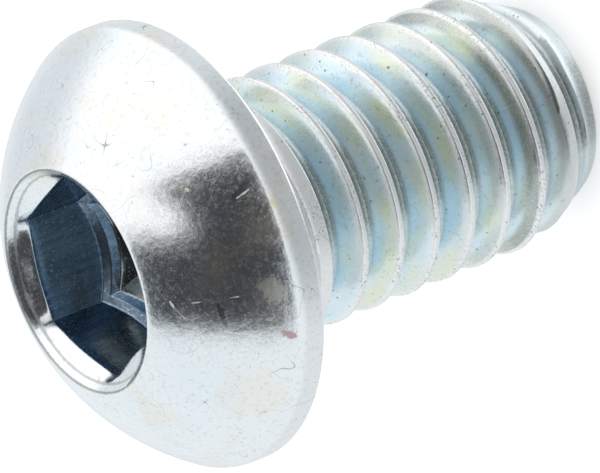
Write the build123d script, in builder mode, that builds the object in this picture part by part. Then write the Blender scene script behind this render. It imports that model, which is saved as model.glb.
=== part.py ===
from build123d import *
import os
from math import asin, ceil, degrees, hypot, radians, sqrt, tan

# Button head socket screw, M6 x 10, cold formed in one piece and zinc plated.
# Z runs up through the head, the bearing face is at z = 0 and the shank points down.

os.makedirs("parts", exist_ok=True)

# Head
head_diameter = 10.2
head_height = 2.95
rim_height = 0.6
rim_corner_radius = 0.12
rim_shoulder_radius = 0.5

# Mouth of the socket: a shallow bevelled ring with six lead-in facets inside it
mouth_diameter = 5.25
mouth_bevel_width = 0.12
mouth_bevel_depth = 0.1
lead_in_depth = 0.38

# Hexagon socket with a dished floor
SOCKET_SIDES = 6
key_width = 4.0
key_clearance = 0.05
socket_wall_depth = 2.0
floor_dish_radius = 3.4
floor_edge_radius = 0.2

# Shank
screw_length = 9.95
neck_diameter = 5.3
neck_length = 0.8
neck_cone_angle = 25
neck_fillet_radius = 0.4
point_diameter = 4.4
point_chamfer_length = 1.5
point_edge_radius = 0.12

# Rolled thread, with a run-out that rises to the surface below the neck
thread_diameter = 5.9
thread_pitch = 1.0
thread_half_angle = 30
thread_crest_width = thread_pitch / 8
thread_depth = 0.613 * thread_pitch
full_thread_offset = 2.0
runout_turns = 1
runout_angle = 30
cutter_overrun = thread_pitch
cutter_margin = 0.04 * thread_pitch

# Head and socket places worked out from the sizes
head_radius = head_diameter / 2
mouth_radius = mouth_diameter / 2
socket_width = key_width + key_clearance
dome_centre_z = (mouth_radius**2 + head_height**2 - head_radius**2 - rim_height**2) / (
    2 * (head_height - rim_height)
)
dome_radius = hypot(mouth_radius, head_height - dome_centre_z)
dome_crown_z = dome_centre_z + dome_radius
rim_polar_angle = degrees(asin((rim_height - dome_centre_z) / dome_radius))
mouth_floor_radius = mouth_radius - mouth_bevel_width
mouth_floor_z = head_height - mouth_bevel_depth
socket_top_z = mouth_floor_z - lead_in_depth
dish_centre_z = head_height - socket_wall_depth + sqrt(floor_dish_radius**2 - (socket_width / 2) ** 2)
dish_bottom_z = dish_centre_z - floor_dish_radius
punch_top_z = dish_centre_z + head_height
side_angle = 360 / SOCKET_SIDES

# Shank and thread places worked out from the sizes
neck_radius = neck_diameter / 2
point_radius = point_diameter / 2
thread_radius = thread_diameter / 2
tip_z = -screw_length
neck_cone_length = (thread_radius - neck_radius) / tan(radians(neck_cone_angle))
groove_turns = ceil((screw_length + cutter_overrun - full_thread_offset) / thread_pitch)
flank_angle = radians(thread_half_angle)
groove_half_width = (thread_pitch - thread_crest_width) / 2
root_half_width = groove_half_width - thread_depth * tan(flank_angle)


def groove_section(path, tangent):
    """Section of the thread groove at the start of a path."""
    with BuildSketch(Plane(path @ 0, x_dir=(1, 0, 0), z_dir=tangent)) as section:
        with BuildLine():
            Polyline(
                (-thread_depth, root_half_width),
                (0, groove_half_width),
                (cutter_margin, groove_half_width),
                (cutter_margin, -groove_half_width),
                (0, -groove_half_width),
                (-thread_depth, -root_half_width),
                close=True,
            )
        make_face()
    return section.sketch


with BuildPart() as punch:
    # The punch that leaves the socket: a hexagon whose end is domed and rounded
    with BuildSketch(Plane.XY.offset(dish_bottom_z)):
        RegularPolygon(socket_width / 2, SOCKET_SIDES, major_radius=False)
    extrude(amount=punch_top_z - dish_bottom_z)
    with BuildSketch(Plane.XZ):
        with BuildLine():
            dish = CenterArc((0, dish_centre_z), floor_dish_radius, -90, 90)
            Polyline(dish @ 1, (floor_dish_radius, punch_top_z), (0, punch_top_z), dish @ 0)
        make_face()
    revolve(axis=Axis.Z, mode=Mode.INTERSECT)
    fillet(punch.faces().filter_by(GeomType.SPHERE).edges(), floor_edge_radius)

with BuildPart() as lead_in:
    # The six facets that guide the key in, from the hexagon's sides out to the ring
    with BuildSketch(Plane.XY.offset(socket_top_z)):
        RegularPolygon(socket_width / 2, SOCKET_SIDES, major_radius=False)
    with BuildSketch(Plane.XY.offset(mouth_floor_z)):
        with BuildLine():
            for side in range(SOCKET_SIDES):
                CenterArc((0, 0), mouth_floor_radius, side * side_angle, side_angle)
        make_face()
    loft(ruled=True)

with BuildPart() as groove_turn:
    # One full turn of the thread groove, ending at the top of the full thread
    with BuildLine() as turn_path:
        Helix(thread_pitch, thread_pitch, thread_radius, center=(0, 0, -full_thread_offset - thread_pitch))
    sweep(groove_section(turn_path.line, turn_path.line % 0), path=turn_path.line, is_frenet=True)

with BuildPart() as runout:
    # The last turn of the groove, which rises out of the shank
    with BuildLine() as runout_path:
        Helix(
            thread_pitch,
            runout_turns * thread_pitch,
            thread_radius,
            center=(0, 0, -full_thread_offset),
            cone_angle=runout_angle,
        )
    sweep(groove_section(runout_path.line, turn_path.line % 1), path=runout_path.line, is_frenet=True)

with BuildPart() as screw:
    # Forged blank: dome, rim, bearing face, neck, shank and chamfered point
    with BuildSketch(Plane.YZ) as blank:
        with BuildLine():
            dome = CenterArc((0, dome_centre_z), dome_radius, rim_polar_angle, 90 - rim_polar_angle)
            Polyline(
                dome @ 0,
                (head_radius, 0),
                (neck_radius, 0),
                (neck_radius, -neck_length),
                (thread_radius, -neck_length - neck_cone_length),
                (thread_radius, tip_z + point_chamfer_length),
                (point_radius, tip_z),
                (0, tip_z),
                dome @ 1,
            )
        make_face()
        for corner, radius in (
            ((head_radius, rim_height), rim_shoulder_radius),
            ((head_radius, 0), rim_corner_radius),
            ((neck_radius, 0), neck_fillet_radius),
            ((point_radius, tip_z), point_edge_radius),
        ):
            fillet(blank.vertices().sort_by_distance(corner)[0], radius)
    revolve(axis=Axis.Z)
    for turn in range(groove_turns):
        with Locations((0, 0, -turn * thread_pitch)):
            add(groove_turn.part, mode=Mode.SUBTRACT)
    add(runout.part, mode=Mode.SUBTRACT)

    # Mouth ring, lead-in facets and hexagon socket
    with BuildSketch(Plane.YZ):
        with BuildLine():
            Polyline(
                (0, mouth_floor_z),
                (mouth_floor_radius, mouth_floor_z),
                (mouth_radius, head_height),
                (mouth_radius, dome_crown_z),
                (0, dome_crown_z),
                close=True,
            )
        make_face()
    revolve(axis=Axis.Z, mode=Mode.SUBTRACT)
    add(lead_in.part, mode=Mode.SUBTRACT)
    add(punch.part, mode=Mode.SUBTRACT)

screw.part.label = "button_head_screw"
export_step(screw.part, "parts/button_head_screw.step")
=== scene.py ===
from math import atan2, cos, floor, hypot, pi, radians, sin, sqrt, tan

import bmesh
import bpy
from bpy.props import FloatProperty, FloatVectorProperty, IntProperty, PointerProperty
from bpy.types import Operator, Panel, PropertyGroup
from mathutils import Matrix, Vector


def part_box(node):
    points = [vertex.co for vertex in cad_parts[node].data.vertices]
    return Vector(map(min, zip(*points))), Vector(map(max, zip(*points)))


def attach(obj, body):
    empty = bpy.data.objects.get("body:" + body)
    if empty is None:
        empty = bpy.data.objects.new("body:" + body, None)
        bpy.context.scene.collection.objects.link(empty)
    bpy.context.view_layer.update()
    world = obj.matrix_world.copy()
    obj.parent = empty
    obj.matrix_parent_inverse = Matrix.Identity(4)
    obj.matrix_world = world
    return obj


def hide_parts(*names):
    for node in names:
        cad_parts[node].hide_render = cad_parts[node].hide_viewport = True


bl_info = {
    "name": "Zinc Plated Button Head Screw",
    "version": (1, 0, 0),
    "blender": (4, 5, 0),
    "location": "View3D > Sidebar > Screw",
    "description": "Builds the plated surface of a button head socket screw around its packed solid",
    "category": "Add Mesh",
}

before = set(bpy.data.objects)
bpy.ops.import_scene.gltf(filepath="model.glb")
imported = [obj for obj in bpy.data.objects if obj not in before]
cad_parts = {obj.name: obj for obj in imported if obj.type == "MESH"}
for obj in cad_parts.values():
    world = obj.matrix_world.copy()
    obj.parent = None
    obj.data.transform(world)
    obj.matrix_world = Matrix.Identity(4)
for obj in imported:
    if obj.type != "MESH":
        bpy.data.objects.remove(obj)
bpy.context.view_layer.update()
SCREW_NODE = "button_head_screw"
SCREW_LOW, SCREW_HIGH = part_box(SCREW_NODE)

MM = 0.001
SIDES = 6
SECTOR = 2 * pi / SIDES
MERGE_DISTANCE = 0.001 * MM
CUT_TOLERANCE = 0.0005 * MM
SHARP_ANGLE = radians(40)


class HeadSizes(PropertyGroup):
    """Sizes of the head and its socket."""

    mouth_radius: FloatProperty(
        name="Mouth Radius", description="Where the dome reaches its full height",
        default=2.625 * MM, unit="LENGTH")
    land_width: FloatProperty(
        name="Land Width", description="Width of the rolled edge between dome and ring",
        default=0.06 * MM, unit="LENGTH")
    ring_width: FloatProperty(
        name="Ring Width", description="Width of the bevelled ring", default=0.16 * MM, unit="LENGTH")
    ring_depth: FloatProperty(
        name="Ring Depth", description="Depth of the bevelled ring", default=0.16 * MM, unit="LENGTH")
    rim_height: FloatProperty(
        name="Rim Height", description="Height at which the dome meets the rim",
        default=0.6 * MM, unit="LENGTH")
    shoulder_radius: FloatProperty(
        name="Shoulder Radius", description="Rounding between dome and rim",
        default=0.5 * MM, unit="LENGTH")
    rim_corner_radius: FloatProperty(
        name="Rim Corner Radius", description="Rounding between rim and bearing face",
        default=0.12 * MM, unit="LENGTH")
    socket_width: FloatProperty(
        name="Socket Width", description="Across the flats of the socket",
        default=4.05 * MM, unit="LENGTH")
    socket_corner_radius: FloatProperty(
        name="Socket Corner Radius", description="Rounding between two socket walls",
        default=0.04 * MM, unit="LENGTH")
    wall_depth: FloatProperty(
        name="Wall Depth", description="From the mouth down to the middle of a wall's foot",
        default=2.0 * MM, unit="LENGTH")
    lead_in_corner_depth: FloatProperty(
        name="Lead In Corner Depth", description="From the mouth down to a socket corner",
        default=0.48 * MM, unit="LENGTH")
    lead_in_side_depth: FloatProperty(
        name="Lead In Side Depth", description="From the mouth down to the middle of a wall's top",
        default=0.36 * MM, unit="LENGTH")
    dish_radius: FloatProperty(
        name="Dish Radius", description="Curve of the socket's dished floor",
        default=3.4 * MM, unit="LENGTH")
    foot_ledge: FloatProperty(
        name="Foot Ledge", description="Width of the rough ledge at the foot of the socket walls",
        default=0.17 * MM, unit="LENGTH")
    foot_step: FloatProperty(
        name="Foot Step", description="Width of the step below the ledge",
        default=0.10 * MM, unit="LENGTH")
    floor_sink: FloatProperty(
        name="Floor Sink", description="Extra depth of the walls' foot",
        default=0.06 * MM, unit="LENGTH")
    foot_drop: FloatProperty(
        name="Foot Drop", description="From the foot of the walls down to the edge of the floor",
        default=0.36 * MM, unit="LENGTH")
    side_stations: IntProperty(
        name="Stations", description="Mesh columns on one side of the socket", default=32, min=8)


class ShankSizes(PropertyGroup):
    """Sizes of the neck, the thread and the point."""

    neck_radius: FloatProperty(
        name="Neck Radius", description="Plain neck below the head", default=2.65 * MM, unit="LENGTH")
    neck_length: FloatProperty(
        name="Neck Length", description="From the bearing face to the neck's cone",
        default=0.8 * MM, unit="LENGTH")
    neck_cone_angle: FloatProperty(
        name="Neck Cone Angle", description="Slope from the neck up to the thread's crest",
        default=radians(25), subtype="ANGLE")
    neck_fillet: FloatProperty(
        name="Neck Fillet", description="Rounding between neck and bearing face",
        default=0.4 * MM, unit="LENGTH")
    thread_radius: FloatProperty(
        name="Thread Radius", description="Radius over the crests", default=2.95 * MM, unit="LENGTH")
    pitch: FloatProperty(
        name="Pitch", description="Distance from crest to crest", default=1.0 * MM, unit="LENGTH")
    thread_depth: FloatProperty(
        name="Thread Depth", description="From crest to root", default=0.613 * MM, unit="LENGTH")
    crest_width: FloatProperty(
        name="Crest Width", description="Flat of the crest before rounding",
        default=0.125 * MM, unit="LENGTH")
    flank_angle: FloatProperty(
        name="Flank Angle", description="Half of the thread's angle",
        default=radians(30), subtype="ANGLE")
    crest_rounding: FloatProperty(
        name="Crest Rounding", description="Width taken off each crest edge",
        default=0.035 * MM, unit="LENGTH")
    root_rounding: FloatProperty(
        name="Root Rounding", description="Width taken into each root corner",
        default=0.075 * MM, unit="LENGTH")
    full_thread_start: FloatProperty(
        name="Full Thread Start", description="From the bearing face to the first full groove",
        default=2.0 * MM, unit="LENGTH")
    runout_angle: FloatProperty(
        name="Run-out Angle", description="Slope on which the last groove rises out of the shank",
        default=radians(30), subtype="ANGLE")
    point_radius: FloatProperty(
        name="Point Radius", description="Small end of the chamfered point",
        default=2.2 * MM, unit="LENGTH")
    point_length: FloatProperty(
        name="Point Length", description="Length of the chamfered point",
        default=1.5 * MM, unit="LENGTH")
    edge_softness: FloatProperty(
        name="Edge Softness", description="Rounding where thread, neck and point cut into each other",
        default=0.05 * MM, unit="LENGTH")
    point_edge: FloatProperty(
        name="Point Edge", description="Rounding at the end of the point",
        default=0.12 * MM, unit="LENGTH")
    turn_steps: IntProperty(
        name="Turn Steps", description="Mesh columns in one turn of the thread", default=144, min=24)


class FinishColours(PropertyGroup):
    """Colours of the passivated zinc plate, and of the shade painted into the socket, the thread's root
    and along the ring round the socket.
    """

    silver: FloatVectorProperty(
        name="Silver", description="Bright plate on head and crests", subtype="COLOR",
        default=(0.85, 0.87, 0.88))
    ice: FloatVectorProperty(
        name="Ice", description="Pale blue tint of the passivation", subtype="COLOR",
        default=(0.78, 0.84, 0.87))
    steel_blue: FloatVectorProperty(
        name="Steel Blue", description="Deep tint in the thread", subtype="COLOR",
        default=(0.62, 0.77, 0.85))
    straw: FloatVectorProperty(
        name="Straw", description="Yellow-green tint in the thread", subtype="COLOR",
        default=(0.76, 0.78, 0.60))
    olive: FloatVectorProperty(
        name="Olive", description="Dull flanks towards the point", subtype="COLOR",
        default=(0.50, 0.51, 0.46))
    # Painted shade of the socket's walls, in the plate's blue tint
    navy: FloatVectorProperty(
        name="Navy", description="Walls and floor of the socket", subtype="COLOR",
        default=(0.27, 0.37, 0.48))
    # Painted shade on the rough foot of the socket's walls
    ledge: FloatVectorProperty(
        name="Ledge", description="Rough foot of the socket's walls", subtype="COLOR",
        default=(0.17, 0.22, 0.28))
    # Painted shade on the socket's floor
    floor: FloatVectorProperty(
        name="Floor", description="Floor of the socket", subtype="COLOR",
        default=(0.25, 0.26, 0.24))
    # Dark colour: painted shade in the thread's root with a painted dark reflection on one side, painted
    # shade along the ring round the socket, darker outer flanks on the last turns, and real speckle,
    # chips and scratches
    root: FloatVectorProperty(
        name="Root", description="Dirt in the thread's root", subtype="COLOR",
        default=(0.20, 0.23, 0.20))
    cream: FloatVectorProperty(
        name="Cream", description="Stains on head and crests", subtype="COLOR",
        default=(0.84, 0.77, 0.66))
    pit: FloatVectorProperty(
        name="Pit", description="Small dark pits", subtype="COLOR", default=(0.09, 0.10, 0.10))


class StudioSettings(PropertyGroup):
    """Camera, floor and light."""

    azimuth: FloatProperty(
        name="Azimuth", description="Camera's place round the screw", default=radians(14.8),
        subtype="ANGLE")
    elevation: FloatProperty(
        name="Elevation", description="Camera's height above the horizon", default=radians(32.12),
        subtype="ANGLE")
    roll: FloatProperty(
        name="Roll", description="Turn of the camera about its line of sight", default=radians(111.52),
        subtype="ANGLE")
    distance: FloatProperty(
        name="Distance", description="From the aim to the camera", default=258.1 * MM, unit="LENGTH")
    aim: FloatVectorProperty(
        name="Aim", description="Point in the middle of the picture", subtype="TRANSLATION",
        default=(-0.912 * MM, 0.013 * MM, -3.009 * MM))
    lens: FloatProperty(name="Lens", description="Focal length in millimetres", default=701.4)
    floor_size: FloatProperty(
        name="Floor Size", description="Side of the floor", default=900 * MM, unit="LENGTH")


def soft_min(first, second, softness):
    """Smaller of two lengths, with the corner between them rounded."""
    overlap = max(softness - abs(first - second), 0) / softness
    return min(first, second) - overlap * overlap * softness / 4


def mix(low, high, share):
    """Value at a share of the way from low to high."""
    return low + (high - low) * share


def polar_angle(vert):
    """Angle of a vertex round the screw's axis, from 0 to a full turn."""
    return atan2(vert.co.y, vert.co.x) % (2 * pi)


def new_verts(made):
    """Vertices of a result."""
    return [item for item in made if isinstance(item, bmesh.types.BMVert)]


def edges_between(made, verts):
    """Edges of a result that have both ends in a set of vertices."""
    chosen = set(verts)
    return [item for item in made if isinstance(item, bmesh.types.BMEdge)
            and item.verts[0] in chosen and item.verts[1] in chosen]


def extrude_ring(mesh, ring, place):
    """Extrude a ring of edges. Each new vertex keeps its angle and goes to place's radius and height."""
    made = bmesh.ops.extrude_edge_only(mesh, edges=ring)["geom"]
    verts = new_verts(made)
    for vert in verts:
        angle = polar_angle(vert)
        radius, height = place(angle)
        vert.co = (radius * cos(angle), radius * sin(angle), height)
    return edges_between(made, verts)


def boundary_ring(mesh, low, high):
    """Open edges whose ends lie between two heights."""
    return [edge for edge in mesh.edges if edge.is_boundary
            and all(low <= vert.co.z <= high for vert in edge.verts)]


class Socket:
    """Places on the hexagon socket and its floor, by angle round the axis."""

    def __init__(self, head):
        self.head = head
        self.inradius = head.socket_width / 2
        self.top = SCREW_HIGH.z
        self.dish_centre = self.top - head.wall_depth + sqrt(head.dish_radius**2 - self.inradius**2)

    def wall_radius(self, angle, inset=0.0):
        """Distance from the axis to the wall, or to a line inside it, with rounded corners."""
        inradius = self.inradius - inset
        corner = self.head.socket_corner_radius
        from_middle = abs(angle % SECTOR - SECTOR / 2)
        flat_half = (inradius - corner) * tan(SECTOR / 2)
        if from_middle <= atan2(flat_half, inradius):
            return inradius / cos(from_middle)
        centre = (inradius - corner) / cos(SECTOR / 2)
        turn = SECTOR / 2 - from_middle
        return centre * cos(turn) + sqrt(corner**2 - (centre * sin(turn))**2)

    def dish_height(self, radius):
        return self.dish_centre - sqrt(self.head.dish_radius**2 - radius**2)

    def foot_height(self, angle):
        """Height of the wall's lower edge, which dips between the corners."""
        return self.dish_height(self.wall_radius(angle)) - self.head.floor_sink

    def foot_place(self, inset, drop):
        """Place inside the wall's foot and below it."""
        return lambda angle: (self.wall_radius(angle, inset), self.foot_height(angle) - drop)

    def floor_place(self, share):
        """Place on the dish, at a share of the way from the axis to the floor's edge."""
        head = self.head

        def place(angle):
            inset = head.foot_ledge + head.foot_step
            middle = self.inradius - inset
            edge = mix(middle, self.wall_radius(angle, inset), share * share)
            rise = self.foot_height(angle) - head.foot_drop - self.dish_height(0)
            return share * edge, self.dish_height(0) + rise * share * share
        return place

    def wall_top(self, angle):
        """Height of the wall's upper edge, which rises between the corners."""
        from_middle = abs(angle % SECTOR - SECTOR / 2) / (SECTOR / 2)
        drop = mix(self.head.lead_in_side_depth, self.head.lead_in_corner_depth, from_middle**2)
        return self.top - drop

    def wall_place(self, share):
        """Place on the wall, at a share of its height."""
        return lambda angle: (self.wall_radius(angle),
                              mix(self.foot_height(angle), self.wall_top(angle), share))

    def lead_in_place(self, share):
        """Place on a lead-in facet, at a share of the way from the wall to the ring."""
        ring_radius = self.head.mouth_radius - self.head.land_width - self.head.ring_width
        ring_height = self.top - self.head.ring_depth
        return lambda angle: (mix(self.wall_radius(angle), ring_radius, share),
                              mix(self.wall_top(angle), ring_height, share))


def build_socket(mesh, head):
    """Rows of the socket from the middle of its floor out to the ring round its mouth."""
    floor_rows = 14
    wall_rows = 6
    lead_in_rows = 4
    corner_stations = 4
    ledge_slope = 0.36
    wall_edge_width = 0.03 * MM
    foot_edge_width = 0.035 * MM
    socket = Socket(head)
    flat_half = (socket.inradius - head.socket_corner_radius) * tan(SECTOR / 2)
    corner_angle = SECTOR / 2 - atan2(flat_half, socket.inradius)
    stations = SIDES * head.side_stations
    circle = bmesh.ops.create_circle(mesh, segments=stations, radius=socket.inradius)
    first = socket.floor_place(1 / floor_rows)
    for index, vert in enumerate(circle["verts"]):
        side, station = divmod(index, head.side_stations)
        from_corner = min(station, head.side_stations - station)
        if from_corner <= corner_stations:
            turn = corner_angle * from_corner / corner_stations
        else:
            turn = mix(corner_angle, SECTOR / 2,
                       (from_corner - corner_stations) / (head.side_stations / 2 - corner_stations))
        angle = side * SECTOR + (turn if station == from_corner else SECTOR - turn)
        radius, height = first(angle)
        vert.co = (radius * cos(angle), radius * sin(angle), height)
    ring = list({edge for vert in circle["verts"] for edge in vert.link_edges})
    made = bmesh.ops.extrude_edge_only(mesh, edges=ring)["geom"]
    bmesh.ops.pointmerge(mesh, verts=new_verts(made), merge_co=(0, 0, socket.dish_height(0)))
    for row in range(2, floor_rows + 1):
        ring = extrude_ring(mesh, ring, socket.floor_place(row / floor_rows))
    feet = [ring]
    for inset, drop in ((head.foot_ledge, ledge_slope * head.foot_drop), (0, 0)):
        ring = extrude_ring(mesh, ring, socket.foot_place(inset, drop))
        feet.append(ring)
    for row in range(1, wall_rows + 1):
        ring = extrude_ring(mesh, ring, socket.wall_place(row / wall_rows))
    wall_edge = ring
    for row in range(1, lead_in_rows + 1):
        ring = extrude_ring(mesh, ring, socket.lead_in_place(row / lead_in_rows))
    feet_edges = [edge for foot in feet for edge in foot]
    for edges, width in ((wall_edge, wall_edge_width), (feet_edges, foot_edge_width)):
        bmesh.ops.bevel(mesh, geom=edges, offset=width, segments=2, profile=0.5,
                        affect="EDGES", material=-1)
    return [edge for edge in mesh.edges if edge.is_boundary]


def arc(centre_radius, centre_height, radius, start, end, steps):
    """Points of an arc in the plane of radius and height."""
    turns = [mix(start, end, step / steps) for step in range(steps + 1)]
    return [(centre_radius + radius * cos(turn), centre_height + radius * sin(turn)) for turn in turns]


def bend(start, corner, end, steps):
    """Points of a curve that leaves its start towards a corner and arrives at its end from there."""
    return [tuple(mix(mix(a, b, step / steps), mix(b, c, step / steps), step / steps)
                  for a, b, c in zip(start, corner, end)) for step in range(steps + 1)]


def head_outline(head, shank):
    """Radius and height of each row from the ring over the dome and rim to the neck."""
    dome_steps = 36
    shoulder_steps = 6
    corner_steps = 4
    bearing_steps = 3
    top = SCREW_HIGH.z
    rim = SCREW_HIGH.x
    dome_centre = ((head.mouth_radius**2 + top**2 - rim**2 - head.rim_height**2)
                   / (2 * (top - head.rim_height)))
    dome_radius = hypot(head.mouth_radius, top - dome_centre)
    shoulder = rim - head.shoulder_radius
    shoulder_height = dome_centre + sqrt((dome_radius - head.shoulder_radius)**2 - shoulder**2)
    roll = head.land_width / 4
    land_end = head.mouth_radius - head.land_width
    dome_start = head.mouth_radius + roll
    dome_start_height = dome_centre + sqrt(dome_radius**2 - dome_start**2)
    mouth_angle = atan2(dome_start_height - dome_centre, dome_start)
    shoulder_angle = atan2(shoulder_height - dome_centre, shoulder)
    corner = head.rim_corner_radius
    fillet_foot = shank.neck_radius + shank.neck_fillet
    rows = bend((land_end, top - roll), (land_end, top), (land_end + roll, top), corner_steps)
    rows += bend((head.mouth_radius - 2 * roll, top), (head.mouth_radius, top),
                 (dome_start, dome_start_height), corner_steps)
    rows += arc(0, dome_centre, dome_radius, mouth_angle, shoulder_angle, dome_steps)[1:]
    rows += arc(shoulder, shoulder_height, head.shoulder_radius, shoulder_angle, 0, shoulder_steps)[1:]
    rows += arc(rim - corner, corner, corner, 0, -pi / 2, corner_steps)
    rows += [(mix(rim - corner, fillet_foot, step / bearing_steps), 0)
             for step in range(1, bearing_steps)]
    rows += arc(fillet_foot, -shank.neck_fillet, shank.neck_fillet, pi / 2, pi, shoulder_steps)
    return rows


def build_head(mesh, ring, head, shank):
    """Rows of the dome, rim, bearing face and neck, from the socket's open edge outwards."""
    for radius, height in head_outline(head, shank):
        ring = extrude_ring(mesh, ring, lambda angle, place=(radius, height): place)
    return ring


def cones_radius(height, shank):
    """Radius of the neck, its cone and the chamfered point, which the thread runs into."""
    neck = shank.neck_radius + max(0, -shank.neck_length - height) * tan(shank.neck_cone_angle)
    slope = (shank.thread_radius - shank.point_radius) / shank.point_length
    return min(neck, shank.point_radius + (height - SCREW_LOW.z) * slope)


def groove_outline(shank):
    """Start a mesh with one pitch of the thread's outline, from one crest to the next."""
    corner_segments = 4
    flank_cuts = 5
    half_pitch = shank.pitch / 2
    crest = half_pitch - shank.crest_width / 2
    root = crest - shank.thread_depth * tan(shank.flank_angle)
    root_radius = shank.thread_radius - shank.thread_depth
    outline = bmesh.new()
    last = outline.verts.new((shank.thread_radius, 0, -half_pitch))
    corners = []
    for radius, height, rounding in ((shank.thread_radius, -crest, shank.crest_rounding),
                                     (root_radius, -root, shank.root_rounding),
                                     (root_radius, root, shank.root_rounding),
                                     (shank.thread_radius, crest, shank.crest_rounding),
                                     (shank.thread_radius, half_pitch, 0)):
        last = bmesh.ops.extrude_vert_indiv(outline, verts=[last])["verts"][0]
        last.co = (radius, 0, height)
        corners.append((last, rounding))
    for vert, rounding in corners[:-1]:
        bmesh.ops.bevel(outline, geom=[vert], offset=rounding, segments=corner_segments, profile=0.5,
                        affect="VERTICES", material=-1)
    flanks = [edge for edge in outline.edges if edge.calc_length() > shank.thread_depth / 3]
    bmesh.ops.subdivide_edges(outline, edges=flanks, cuts=flank_cuts)
    return outline


def build_thread(shank):
    """Spin one turn of the groove, stack it down the shank and cut the stack off at neck and tip."""
    cut_share_of_neck = 0.8
    turns_above = 2
    turns_below = floor((-shank.full_thread_start - SCREW_LOW.z) / shank.pitch) + 2
    thread = groove_outline(shank)
    bmesh.ops.translate(thread, verts=thread.verts, vec=(0, 0, -shank.full_thread_start))
    bmesh.ops.spin(thread, geom=thread.verts[:] + thread.edges[:], cent=(0, 0, 0), axis=(0, 0, 1),
                   dvec=(0, 0, shank.pitch / shank.turn_steps), angle=2 * pi, steps=shank.turn_steps,
                   use_merge=False)
    turn = thread.verts[:] + thread.edges[:] + thread.faces[:]
    for level in range(-turns_below, turns_above):
        if level:
            made = bmesh.ops.duplicate(thread, geom=turn)["geom"]
            bmesh.ops.translate(thread, verts=new_verts(made), vec=(0, 0, level * shank.pitch))
    bmesh.ops.remove_doubles(thread, verts=thread.verts, dist=MERGE_DISTANCE)
    for vert in thread.verts:
        angle = polar_angle(vert)
        start = -shank.full_thread_start + shank.pitch * angle / (2 * pi)
        level = round((vert.co.z - start) / shank.pitch)
        rise = max(0, shank.pitch * (level + angle / (2 * pi))) * tan(shank.runout_angle)
        groove = min(hypot(vert.co.x, vert.co.y) + rise, shank.thread_radius)
        radius = soft_min(groove, cones_radius(vert.co.z, shank), shank.edge_softness)
        vert.co.x, vert.co.y = radius * cos(angle), radius * sin(angle)
    neck_cut = -cut_share_of_neck * shank.neck_length
    tip_cut = SCREW_LOW.z + shank.point_edge
    for height, upward in ((neck_cut, 1), (tip_cut, -1)):
        bmesh.ops.bisect_plane(thread, geom=thread.verts[:] + thread.edges[:] + thread.faces[:],
                               dist=CUT_TOLERANCE, plane_co=(0, 0, height), plane_no=(0, 0, upward),
                               clear_outer=True)
    build_point(thread, shank, tip_cut)
    return thread


def build_point(thread, shank, tip_cut):
    """Round the end of the point and close it with a flat face."""
    rounding_steps = 4
    face_rows = 4
    edge = tip_cut - SCREW_LOW.z
    start = cones_radius(tip_cut, shank)
    face = shank.point_radius - edge
    reach = edge / 10
    ring = boundary_ring(thread, tip_cut - reach, tip_cut + reach)
    for step in range(1, rounding_steps + 1):
        share = step / rounding_steps
        radius = mix(mix(start, shank.point_radius, share),
                     mix(shank.point_radius, face, share), share)
        height = mix(mix(tip_cut, SCREW_LOW.z, share), SCREW_LOW.z, share)
        ring = extrude_ring(thread, ring, lambda angle, place=(radius, height): place)
    for row in range(1, face_rows):
        radius = face * (1 - row / face_rows)
        ring = extrude_ring(thread, ring, lambda angle, place=(radius, SCREW_LOW.z): place)
    made = bmesh.ops.extrude_edge_only(thread, edges=ring)["geom"]
    bmesh.ops.pointmerge(thread, verts=new_verts(made), merge_co=(0, 0, SCREW_LOW.z))


class SCREW_OT_plated_screw(Operator):
    """Build the screw's plated surface, with its socket, dome, neck, rolled thread and point"""

    bl_idname = "screw.plated_screw"
    bl_label = "Plated Screw"

    def execute(self, context):
        settings = context.scene
        surface = bpy.data.meshes.new("plated_screw")
        thread = build_thread(settings.screw_shank)
        thread.to_mesh(surface)
        thread.free()
        mesh = bmesh.new()
        ring = build_socket(mesh, settings.screw_head)
        build_head(mesh, ring, settings.screw_head, settings.screw_shank)
        mesh.from_mesh(surface)
        bmesh.ops.bridge_loops(mesh, edges=[edge for edge in mesh.edges if edge.is_boundary])
        bmesh.ops.recalc_face_normals(mesh, faces=mesh.faces)
        open_edges = sum(not edge.is_manifold for edge in mesh.edges)
        if open_edges:
            raise RuntimeError(f"the screw's surface has {open_edges} open edges")
        for face in mesh.faces:
            face.smooth = True
        mesh.to_mesh(surface)
        mesh.free()
        surface.set_sharp_from_angle(angle=SHARP_ANGLE)
        screw = bpy.data.objects.new("plated_screw", surface)
        context.collection.objects.link(screw)
        surface.materials.append(zinc_plate(settings))
        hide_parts(SCREW_NODE)
        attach(screw, "root")
        return {"FINISHED"}


class Value:
    """A shader socket that takes part in Python arithmetic. Each operation adds a Math node."""

    def __init__(self, shader, socket):
        self.shader = shader
        self.socket = socket

    def math(self, operation, *inputs):
        return self.shader.add("ShaderNodeMath", {"operation": operation}, *inputs)

    def __add__(self, other):
        return self.math("ADD", self, other)

    def __radd__(self, other):
        return self.math("ADD", other, self)

    def __sub__(self, other):
        return self.math("SUBTRACT", self, other)

    def __rsub__(self, other):
        return self.math("SUBTRACT", other, self)

    def __mul__(self, other):
        return self.math("MULTIPLY", self, other)

    def __rmul__(self, other):
        return self.math("MULTIPLY", other, self)

    def __truediv__(self, other):
        return self.math("DIVIDE", self, other)

    def __pow__(self, other):
        return self.math("POWER", self, other)

    def __abs__(self):
        return self.math("ABSOLUTE", self)


# The Mix node has inputs and outputs of the same name for each kind of data, so these go by number
MIX_COLOUR_INPUTS = (0, 6, 7)
MIX_COLOUR_OUTPUT = 2


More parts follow.
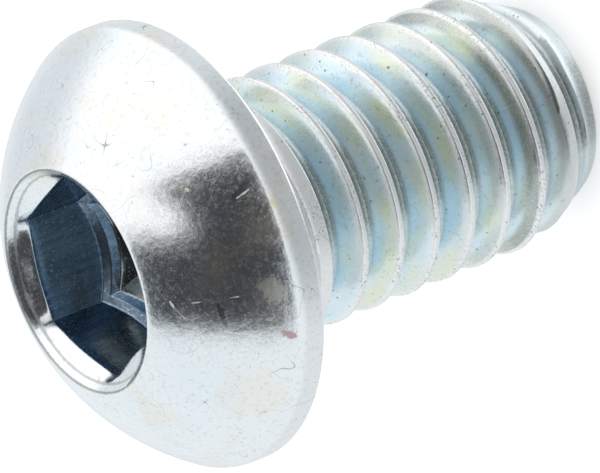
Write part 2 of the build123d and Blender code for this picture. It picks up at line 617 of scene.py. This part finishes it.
class Shader:
    """Node tree of a material or world, with one method that adds any node."""

    def __init__(self, owner):
        owner.use_nodes = True
        self.tree = owner.node_tree
        self.tree.nodes.clear()

    def add(self, kind, settings=None, *places, output=0, sockets=None, **named):
        """Add a node. Settings come first, then values or links of its inputs.

        Inputs are given by order, by number in sockets, or by name."""
        node = self.tree.nodes.new(kind)
        for name, value in (settings or {}).items():
            setattr(node, name, value)
        inputs = dict(enumerate(places))
        inputs.update(sockets or {})
        inputs.update({name.replace("_", " "): value for name, value in named.items()})
        for name, value in inputs.items():
            socket = node.inputs[name]
            if isinstance(value, Value):
                self.tree.links.new(value.socket, socket)
            elif socket.type == "RGBA":
                socket.default_value = (*value[:3], 1)
            else:
                socket.default_value = value
        return Value(self, node.outputs[output]) if node.outputs else None

    def blend(self, factor, first, second):
        """Mix two colours."""
        inputs = dict(zip(MIX_COLOUR_INPUTS, (factor, first, second)))
        return self.add("ShaderNodeMix", {"data_type": "RGBA"}, sockets=inputs,
                        output=MIX_COLOUR_OUTPUT)

    def ramp(self, value, low, high):
        """Share of the way from low to high, with soft ends."""
        return self.add("ShaderNodeMapRange", {"interpolation_type": "SMOOTHSTEP"}, value, low, high)

    def noise(self, place, scale, detail=2.0, roughness=0.5):
        return self.add("ShaderNodeTexNoise", None, Vector=place, Scale=scale, Detail=detail,
                        Roughness=roughness)

    def vector(self, operation, *inputs, output=0):
        return self.add("ShaderNodeVectorMath", {"operation": operation}, *inputs, output=output)

    def parts(self, vector):
        return [self.add("ShaderNodeSeparateXYZ", None, vector, output=axis) for axis in "XYZ"]

    def larger(self, first, second):
        return self.add("ShaderNodeMath", {"operation": "MAXIMUM"}, first, second)

    def stretched(self, place, scales):
        return self.add("ShaderNodeMapping", None, place, Scale=scales)

    def from_line(self, place, start, end):
        """Distance from the straight line between two points."""
        along = Vector(end) - Vector(start)
        offset = self.vector("SUBTRACT", place, start)
        share = self.vector("DOT_PRODUCT", offset, along / along.length_squared, output="Value")
        share = self.add("ShaderNodeClamp", None, share, 0, 1)
        shares = self.add("ShaderNodeCombineXYZ", None, share, share, share)
        nearest = self.vector("MULTIPLY", along, shares)
        return self.vector("DISTANCE", offset, nearest, output="Value")


# Noise in the plate: scale for each millimetre, detail and roughness
SPECKLE = (9.0, 3.0, 0.6)
GRIT = (19.0, 2.0, 0.6)
MOTTLE = (3.1, 3.0, 0.55)
CLOUD = (0.62, 2.0, 0.5)
DRIFT = (1.0, 2.0, 0.5)
DRIFT_STRETCH = (0.5, 0.5, 0.9)
STREAK_STRETCH = (9.0, 9.0, 0.8)

# Angle round the axis, from -Y towards +X, of the side towards the camera, on which the thread's root
# gets a painted dark reflection
DARK_REFLECTION_SIDE = radians(5)

# Pits: scale of the cells for each millimetre, size in a cell, and share of the cells without one
PITS = ((2.1, 0.10, 0.74), (4.3, 0.15, 0.62))

# Scratches: scale of the noise whose contour they follow, and the level of that contour
SCRATCHES = ((0.9, 0.50), (1.3, 0.46))
HAIRLINE = (0.0022, 0.0006)

# Heights in millimetres between which a layer of the plate fades in or out
HEAD_FADE_IN = (-0.35, -0.05)
MOUTH_FADE_IN = (2.6, 2.7)
OLIVE_FADE_IN = (-4.5, -8.0)
OLIVE_FADE_OUT = (-9.5, -8.9)
LAST_TURNS_FADE_IN = (-6.6, -7.8)
LAST_TURNS_FADE_OUT = (-9.3, -8.7)
CHAMFER_FADE_IN = (-8.1, -8.6)

# Height in millimetres that each noise gives the unevenness of the plate
SPECKLE_HEIGHT = 0.0022
MOTTLE_HEIGHT = 0.006
GRIT_HEIGHT = 0.0006


class Plate:
    """Zinc plate of the screw, built up in layers of colour and roughness over places in millimetres."""

    def __init__(self, colours, head, shank):
        self.material = bpy.data.materials.new("zinc_plate")
        self.shader = Shader(self.material)
        self.colours = colours
        shader = self.shader
        place = shader.add("ShaderNodeTexCoord", output="Object")
        self.place = shader.stretched(place, (1 / MM, 1 / MM, 1 / MM))
        self.x, self.y, self.height = shader.parts(self.place)
        self.radius = (self.x * self.x + self.y * self.y)**0.5
        self.crest_radius = shank.thread_radius / MM
        self.root_radius = (shank.thread_radius - shank.thread_depth) / MM
        self.on_head = shader.ramp(self.height, *HEAD_FADE_IN)
        self.find_socket(head)
        self.speckle = shader.noise(self.place, *SPECKLE)
        self.grit = shader.noise(self.place, *GRIT)
        self.mottle = shader.noise(self.place, *MOTTLE)
        self.cloud = shader.noise(self.place, *CLOUD)
        self.drift = shader.noise(shader.stretched(self.place, DRIFT_STRETCH), *DRIFT)
        self.colour = shader.blend(self.on_head, colours.ice, colours.silver)
        self.rough = 0.13 + 0.1 * self.mottle

    def find_socket(self, head):
        """Masks of the socket below its lead-in facets and of its foot, by distance from the axis
        across the flats."""
        shader = self.shader
        foot_top = 1.45
        half_width = head.socket_width / 2 / MM
        side_top = (SCREW_HIGH.z - head.lead_in_side_depth) / MM
        corner_top = (SCREW_HIGH.z - head.lead_in_corner_depth) / MM
        across = self.x * cos(SECTOR / 2)
        rise = self.y * sin(SECTOR / 2)
        slanted = shader.larger(abs(across + rise), abs(across - rise))
        self.flat_distance = shader.larger(slanted, abs(self.y))
        slope = (side_top - corner_top) / (half_width / cos(SECTOR / 2) - half_width)
        above_wall = self.height + slope * self.radius - (side_top + slope * half_width)
        within = shader.ramp(self.flat_distance, half_width + 0.03, half_width + 0.01)
        self.in_socket = self.on_head * within * shader.ramp(above_wall, 0.02, -0.01)
        self.foot = self.in_socket * shader.ramp(self.height, foot_top + 0.05, foot_top - 0.05)
        self.ledge_edge = half_width - head.foot_ledge / MM

    def coat(self, mask, colour, roughness=None):
        """Lay a colour over the plate where the mask is high, and a roughness with it."""
        self.colour = self.shader.blend(mask, self.colour, colour)
        if roughness is not None:
            self.rough = self.rough + mask * (roughness - self.rough)

    def tint_thread(self):
        """Blue, straw and olive tints in the thread."""
        shader = self.shader
        shank = 1 - self.on_head
        depth = self.thread_share()

        # Blue towards the root and straw towards the crest, both stronger in clouds
        inner = shader.ramp(depth, 0.05, 0.45)
        cloudy = 0.4 + 0.6 * shader.ramp(self.cloud, 0.28, 0.56)
        self.coat(shank * inner * cloudy, self.colours.steel_blue)
        toward_crest = shader.ramp(depth, 0.85, 0.45)
        straw = toward_crest * shader.ramp(self.drift, 0.40, 0.66) * 0.8
        self.coat(shank * straw, self.colours.straw)

        # Olive and then darker outer flanks on the last turns, and a duller chamfer
        outer = shader.ramp(depth, 0.60, 0.38)
        to_point = shader.ramp(self.height, *OLIVE_FADE_IN)
        to_point = to_point * shader.ramp(self.height, *OLIVE_FADE_OUT)
        olive = outer * to_point * shader.ramp(self.drift, 0.66, 0.42) * 0.85
        self.coat(shank * olive, self.colours.olive)
        last_turns = shader.ramp(self.height, *LAST_TURNS_FADE_IN)
        last_turns = last_turns * shader.ramp(self.height, *LAST_TURNS_FADE_OUT)
        self.coat(shank * outer * last_turns * 0.4, self.colours.root)
        chamfered = shank * shader.ramp(self.height, *CHAMFER_FADE_IN)
        self.coat(chamfered * 0.5, self.colours.silver, 0.4)

    def thread_share(self):
        """Share of the way from the crest in to the root."""
        return (self.crest_radius - self.radius) * (1 / (self.crest_radius - self.root_radius))

    def shade_and_wear_thread(self):
        """Painted shade in the thread's root, painted darker still on the side towards the camera as a
        dark reflection, fine speckle, and worn crests with stains on them.
        """
        shader = self.shader
        shank = 1 - self.on_head
        depth = self.thread_share()
        # Painted shade: the root is darkened all round, and more on the side towards the camera, where
        # it stands for a dark reflection
        side = (self.x * sin(DARK_REFLECTION_SIDE) - self.y * cos(DARK_REFLECTION_SIDE)) / self.radius
        dark_reflection = shader.ramp(side + (self.mottle - 0.5) * 0.1, 0.86, 0.98)
        in_root = shader.ramp(depth, 0.74, 0.97)
        self.coat(shank * in_root * (0.4 + 0.4 * dark_reflection), self.colours.root, 0.32)
        self.coat(shank * shader.ramp(self.grit, 0.50, 0.62) * 0.25, self.colours.silver, 0.4)
        self.coat(shank * shader.ramp(self.speckle, 0.42, 0.32) * 0.25, self.colours.root)
        crest = shank * shader.ramp(depth, 0.15, 0.06)
        self.coat(crest, self.colours.silver, 0.3)
        self.coat(crest * shader.ramp(self.speckle, 0.50, 0.62) * 0.5, self.colours.cream, 0.45)
        chipped = shader.ramp(self.grit, 0.44, 0.34) * shader.ramp(self.cloud, 0.40, 0.60)
        self.coat(crest * chipped * 0.8, self.colours.root, 0.5)

    def tint_head(self):
        """Faint blue and cream stains on the head, with duller silver grains and dark specks."""
        shader = self.shader
        head = self.on_head
        self.coat(head * shader.ramp(self.cloud, 0.45, 0.65) * 0.6, self.colours.ice)
        self.coat(head * shader.ramp(self.drift, 0.54, 0.66) * 0.45, self.colours.cream)
        self.coat(head * shader.ramp(self.speckle, 0.48, 0.68) * 0.3, self.colours.silver, 0.4)
        self.coat(head * shader.ramp(self.grit, 0.48, 0.62) * 0.22, self.colours.silver, 0.45)
        self.coat(head * shader.ramp(self.speckle, 0.46, 0.34) * 0.14, self.colours.root)

    def paint_socket_shade(self):
        """Painted shade in the socket: navy walls, in the plate's blue tint, with fine streaks down
        them, a dull ledge painted darker still, a floor painted dark, and bright specks.
        """
        shader = self.shader
        across = self.flat_distance
        edge = self.ledge_edge
        # Painted shade: the whole socket takes a dark navy, which stands for the shade of the recess as
        # well as the plate's blue tint
        self.coat(self.in_socket, self.colours.navy, 0.2)
        streaks = shader.noise(shader.stretched(self.place, STREAK_STRETCH), 1.0, 2.0)
        self.coat(self.in_socket * shader.ramp(streaks, 0.35, 0.7) * 0.35, self.colours.steel_blue)
        # Painted shade: the rough ledge at the foot of the walls is painted darker still
        ledge = shader.ramp(across, edge - 0.02, edge + 0.02)
        ledge = ledge * shader.ramp(across, edge + 0.16, edge + 0.12)
        uneven = 0.55 + 0.45 * shader.ramp(self.grit, 0.6, 0.4)
        self.coat(self.foot * ledge * uneven, self.colours.ledge, 0.45)
        # Painted shade: the floor at the bottom of the socket is painted dark
        floor_share = shader.ramp(across, edge - 0.08, edge - 0.14)
        self.coat(self.foot * floor_share, self.colours.floor, 0.22)
        specks = shader.ramp(shader.noise(self.place, 16.0, 1.0), 0.64, 0.70)
        self.coat(self.in_socket * specks * 0.6, self.colours.ice, 0.4)

    def scatter_pits(self):
        """Small dark pits in two sizes, fewer of them on the head."""
        shader = self.shader
        fewer = 1 - self.on_head * 0.6
        for scale, size, bare in PITS:
            cells = {"feature": "F1"}
            near = shader.add("ShaderNodeTexVoronoi", cells, Vector=self.place, Scale=scale)
            chance = shader.add("ShaderNodeTexVoronoi", cells, Vector=self.place, Scale=scale,
                                output="Color")
            chosen = shader.ramp(shader.parts(chance)[0], bare, bare + 0.02)
            ragged = near + (self.speckle - 0.5) * 0.16
            pit = shader.ramp(ragged, size, size * 0.4) * chosen
            self.coat(pit * fewer * 0.7, self.colours.pit, 0.5)

    def draw_scratches(self):
        """Hairline scratches that wander over the head."""
        shader = self.shader
        broken = shader.ramp(shader.noise(self.place, 1.7, 1.0), 0.50, 0.58)
        for scale, level in SCRATCHES:
            wander = shader.noise(self.place, scale, 1.0, 0.4)
            line = shader.ramp(abs(wander - level), *HAIRLINE)
            self.coat(self.on_head * line * broken * 0.6, self.colours.root, 0.5)

    def add_marks(self):
        """Nicks and spots that the head has picked up."""
        shader = self.shader
        for start, end, width, colour, strength, roughness in MARKS:
            from_mark = shader.from_line(self.place, start, end)
            ragged = from_mark + (self.speckle - 0.5) * (2.2 * width)
            self.coat(shader.ramp(ragged, width, width * 0.4) * strength, colour, roughness)

    def shade_ring_edges(self, head):
        """Painted shade: dark lines along both edges of the ring round the socket."""
        shader = self.shader
        near_top = self.on_head * shader.ramp(self.height, *MOUTH_FADE_IN)
        land_end = (head.mouth_radius - head.land_width) / MM
        # Painted shade along the ring's two edges
        for line, share in ((land_end, 0.6), (land_end - head.ring_width / MM, 0.45)):
            off_line = abs(self.radius - line) + (self.speckle - 0.5) * 0.03
            self.coat(near_top * shader.ramp(off_line, 0.035, 0.012) * share, self.colours.root, 0.5)

    def finish(self):
        """Close the material, with the plate's slight unevenness as a bump in millimetres."""
        shader = self.shader
        uneven = (self.speckle * SPECKLE_HEIGHT + self.mottle * MOTTLE_HEIGHT
                  + self.grit * GRIT_HEIGHT)
        normal = shader.add("ShaderNodeBump", None, Strength=1.0, Distance=MM, Height=uneven)
        surface = shader.add("ShaderNodeBsdfPrincipled", None, Base_Color=self.colour, Metallic=1.0,
                             Roughness=self.rough, Normal=normal)
        shader.add("ShaderNodeOutputMaterial", None, surface)
        return self.material


# Start, end and half width in millimetres, colour, strength and roughness of each mark on the head
MARKS = (
    ((-0.48, -3.51, 2.38), (-0.52, -4.28, 1.68), 0.016, (0.85, 0.85, 0.85), 0.9, 0.7),
    ((-0.39, -3.11, 2.66), (-0.52, -3.14, 2.62), 0.035, (0.85, 0.88, 0.9), 0.9, 0.7),
    ((-0.52, -3.14, 2.62), (-0.82, -3.29, 2.49), 0.016, (0.85, 0.88, 0.9), 0.8, 0.6),
    ((1.64, -4.39, 1.23), (1.87, -4.52, 0.94), 0.10, (0.10, 0.10, 0.11), 0.8, 0.3),
    ((1.57, -4.43, 1.22), (1.69, -4.57, 0.97), 0.022, (0.9, 0.86, 0.84), 0.9, 0.75),
    ((1.95, -3.6, 1.9), (1.93, -3.62, 1.88), 0.045, (0.9, 0.8, 0.55), 0.9, 0.75),
    ((-1.55, -4.63, 0.97), (-1.66, -4.66, 0.80), 0.11, (0.45, 0.14, 0.15), 0.6, 0.45),
    ((1.37, -4.89, 0.63), (1.30, -4.91, 0.62), 0.11, (0.86, 0.74, 0.46), 0.6, 0.4),
    ((-0.66, -3.94, 2.0), (-0.90, -3.93, 1.96), 0.09, (0.12, 0.12, 0.13), 0.7, 0.25),
    ((-0.45, -4.74, 1.15), (-0.62, -4.77, 1.05), 0.30, (0.86, 0.80, 0.62), 0.4, 0.5),
)


def zinc_plate(settings):
    """Blue passivated zinc: bright and uneven, with soft tints, pits, scratches and fine wear, and with
    shade painted into the socket, the thread's root and along the ring round the socket.
    """
    plate = Plate(settings.screw_finish, settings.screw_head, settings.screw_shank)
    plate.tint_thread()
    plate.shade_and_wear_thread()
    plate.tint_head()
    plate.paint_socket_shade()
    plate.scatter_pits()
    plate.draw_scratches()
    plate.add_marks()
    plate.shade_ring_edges(settings.screw_head)
    return plate.finish()


class SCREW_OT_studio(Operator):
    """Set up the pale floor, the soft tent of light and the camera"""

    bl_idname = "screw.studio"
    bl_label = "Studio"

    def execute(self, context):
        studio = context.scene.screw_studio
        floor_mesh = bmesh.new()
        bmesh.ops.create_grid(floor_mesh, x_segments=1, y_segments=1, size=studio.floor_size / 2)
        bmesh.ops.translate(floor_mesh, verts=floor_mesh.verts, vec=(0, 0, SCREW_LOW.z))
        surface = bpy.data.meshes.new("studio_floor")
        floor_mesh.to_mesh(surface)
        floor_mesh.free()
        surface.materials.append(floor_paint())
        floor_object = bpy.data.objects.new("studio_floor", surface)
        floor_object.visible_glossy = False
        context.collection.objects.link(floor_object)
        tent_of_light(context.scene)
        set_camera(context, studio)
        return {"FINISHED"}


WHITE = (1, 1, 1)
FLOOR_GREY = 0.9
FLOOR_LIFT = 0.34


def floor_paint():
    """Pale matt floor, lifted to white for the camera, that keeps the object's shadow."""
    material = bpy.data.materials.new("studio_floor")
    shader = Shader(material)
    seen = shader.add("ShaderNodeLightPath", output="Is Camera Ray")
    paint = shader.add("ShaderNodeBsdfDiffuse", None, (FLOOR_GREY, FLOOR_GREY, FLOOR_GREY))
    lift = shader.add("ShaderNodeEmission", None, WHITE, seen * FLOOR_LIFT)
    shader.add("ShaderNodeOutputMaterial", None, shader.add("ShaderNodeAddShader", None, paint, lift))
    return material


def direction(azimuth, elevation):
    """Unit vector from the screw towards a place round it."""
    return Vector((sin(azimuth) * cos(elevation), -cos(azimuth) * cos(elevation), sin(elevation)))


# Duller zones of the tent: azimuth, elevation, cosines at which a zone starts and is full, colour
DULL_ZONES = (
    (radians(168), radians(8), 0.80, 0.97, (0.78, 0.83, 0.87)),
    (radians(25), radians(-35), 0.35, 0.95, (0.50, 0.52, 0.53)),
)


def tent_of_light(scene):
    """White tent, with a dark opening towards the camera that shows in the metal's gloss."""
    cool_white = (0.92, 0.97, 1.0)
    bright_white = (1.24, 1.24, 1.24)
    low_grey = (0.84, 0.87, 0.89)
    bounce = (1.4, 1.44, 1.48)
    cool_dark = (0.03, 0.034, 0.042)
    warm_dark = (0.085, 0.078, 0.072)
    world = bpy.data.worlds.new("studio_tent")
    scene.world = world
    shader = Shader(world)
    ray = shader.add("ShaderNodeTexCoord", output="Generated")
    x, y, z = shader.parts(ray)

    # Cool white on one side and bright on the other, duller low down and in two zones
    tent = shader.blend(shader.ramp(x, -0.45, 0.45), cool_white, bright_white)
    tent = shader.blend(shader.ramp(z, -0.12, -0.45), tent, low_grey)
    for azimuth, elevation, start, full, colour in DULL_ZONES:
        toward = shader.vector("DOT_PRODUCT", ray, direction(azimuth, elevation), output="Value")
        tent = shader.blend(shader.ramp(toward, start, full), tent, colour)

    # Bright patch below, which reaches the thread by way of the underside of the head
    beneath = shader.ramp(z, -0.72, -0.90) * shader.ramp(x, -0.14, 0.24)
    tent = shader.blend(beneath, tent, bounce)

    # Dark opening with two slanted sides, a lower and an upper edge, and one corner cut off
    edge = 0.035
    bright_side = shader.ramp(0.42 - x - 0.32 * y, -edge, edge)
    cool_side = shader.ramp(0.49 + x - 0.33 * y, -edge, edge)
    opening = bright_side * cool_side * shader.ramp(z, 0.40, 0.46) * shader.ramp(y, 0.22, 0.08)
    opening = opening * (1 - shader.ramp(x, 0.02, 0.20) * shader.ramp(z, 0.88, 0.94))
    warm = shader.ramp(shader.noise(ray, 2.6, 2.0), 0.48, 0.66)
    tent = shader.blend(opening, tent, shader.blend(warm, cool_dark, warm_dark))

    # The tent shows in gloss only: the rest of the light, and the picture's background, is white
    glossy = shader.add("ShaderNodeLightPath", output="Is Glossy Ray")
    seen = shader.add("ShaderNodeLightPath", output="Is Camera Ray")
    colour = shader.blend(glossy, WHITE, tent)
    colour = shader.blend(seen, colour, WHITE)
    background = shader.add("ShaderNodeBackground", None, colour, 1.0)
    shader.add("ShaderNodeOutputWorld", None, background)


CLIP_REACH = 10


def set_camera(context, studio):
    """Aim the camera as the photograph was taken, with its long lens and its roll."""
    camera = bpy.data.objects.new("camera", bpy.data.cameras.new("camera"))
    back = direction(studio.azimuth, studio.elevation)
    turn = (-back).to_track_quat("-Z", "Y").to_matrix().to_4x4()
    place = Matrix.Translation(Vector(studio.aim) + back * studio.distance)
    camera.matrix_world = place @ turn @ Matrix.Rotation(-studio.roll, 4, "Z")
    camera.data.lens = studio.lens
    camera.data.clip_start = studio.distance / CLIP_REACH
    camera.data.clip_end = studio.distance * CLIP_REACH
    context.collection.objects.link(camera)
    context.scene.camera = camera
    context.scene.view_settings.view_transform = "Standard"


class SCREW_PT_tools(Panel):
    """Buttons and sizes of the screw"""

    bl_idname = "SCREW_PT_tools"
    bl_label = "Button Head Screw"
    bl_space_type = "VIEW_3D"
    bl_region_type = "UI"
    bl_category = "Screw"

    def draw(self, context):
        for operator in (SCREW_OT_plated_screw, SCREW_OT_studio):
            self.layout.operator(operator.bl_idname)
        for name in GROUPS:
            settings = getattr(context.scene, name)
            box = self.layout.box()
            for size in settings.__annotations__:
                box.prop(settings, size)


GROUPS = {"screw_head": HeadSizes, "screw_shank": ShankSizes, "screw_finish": FinishColours,
          "screw_studio": StudioSettings}
CLASSES = (*GROUPS.values(), SCREW_OT_plated_screw, SCREW_OT_studio, SCREW_PT_tools)


def register():
    for cls in CLASSES:
        bpy.utils.register_class(cls)
    for name, group in GROUPS.items():
        setattr(bpy.types.Scene, name, PointerProperty(type=group))


def unregister():
    for name in GROUPS:
        delattr(bpy.types.Scene, name)
    for cls in reversed(CLASSES):
        bpy.utils.unregister_class(cls)


def main():
    register()
    bpy.ops.screw.plated_screw()
    bpy.ops.screw.studio()


if __name__ == "__main__":
    main()
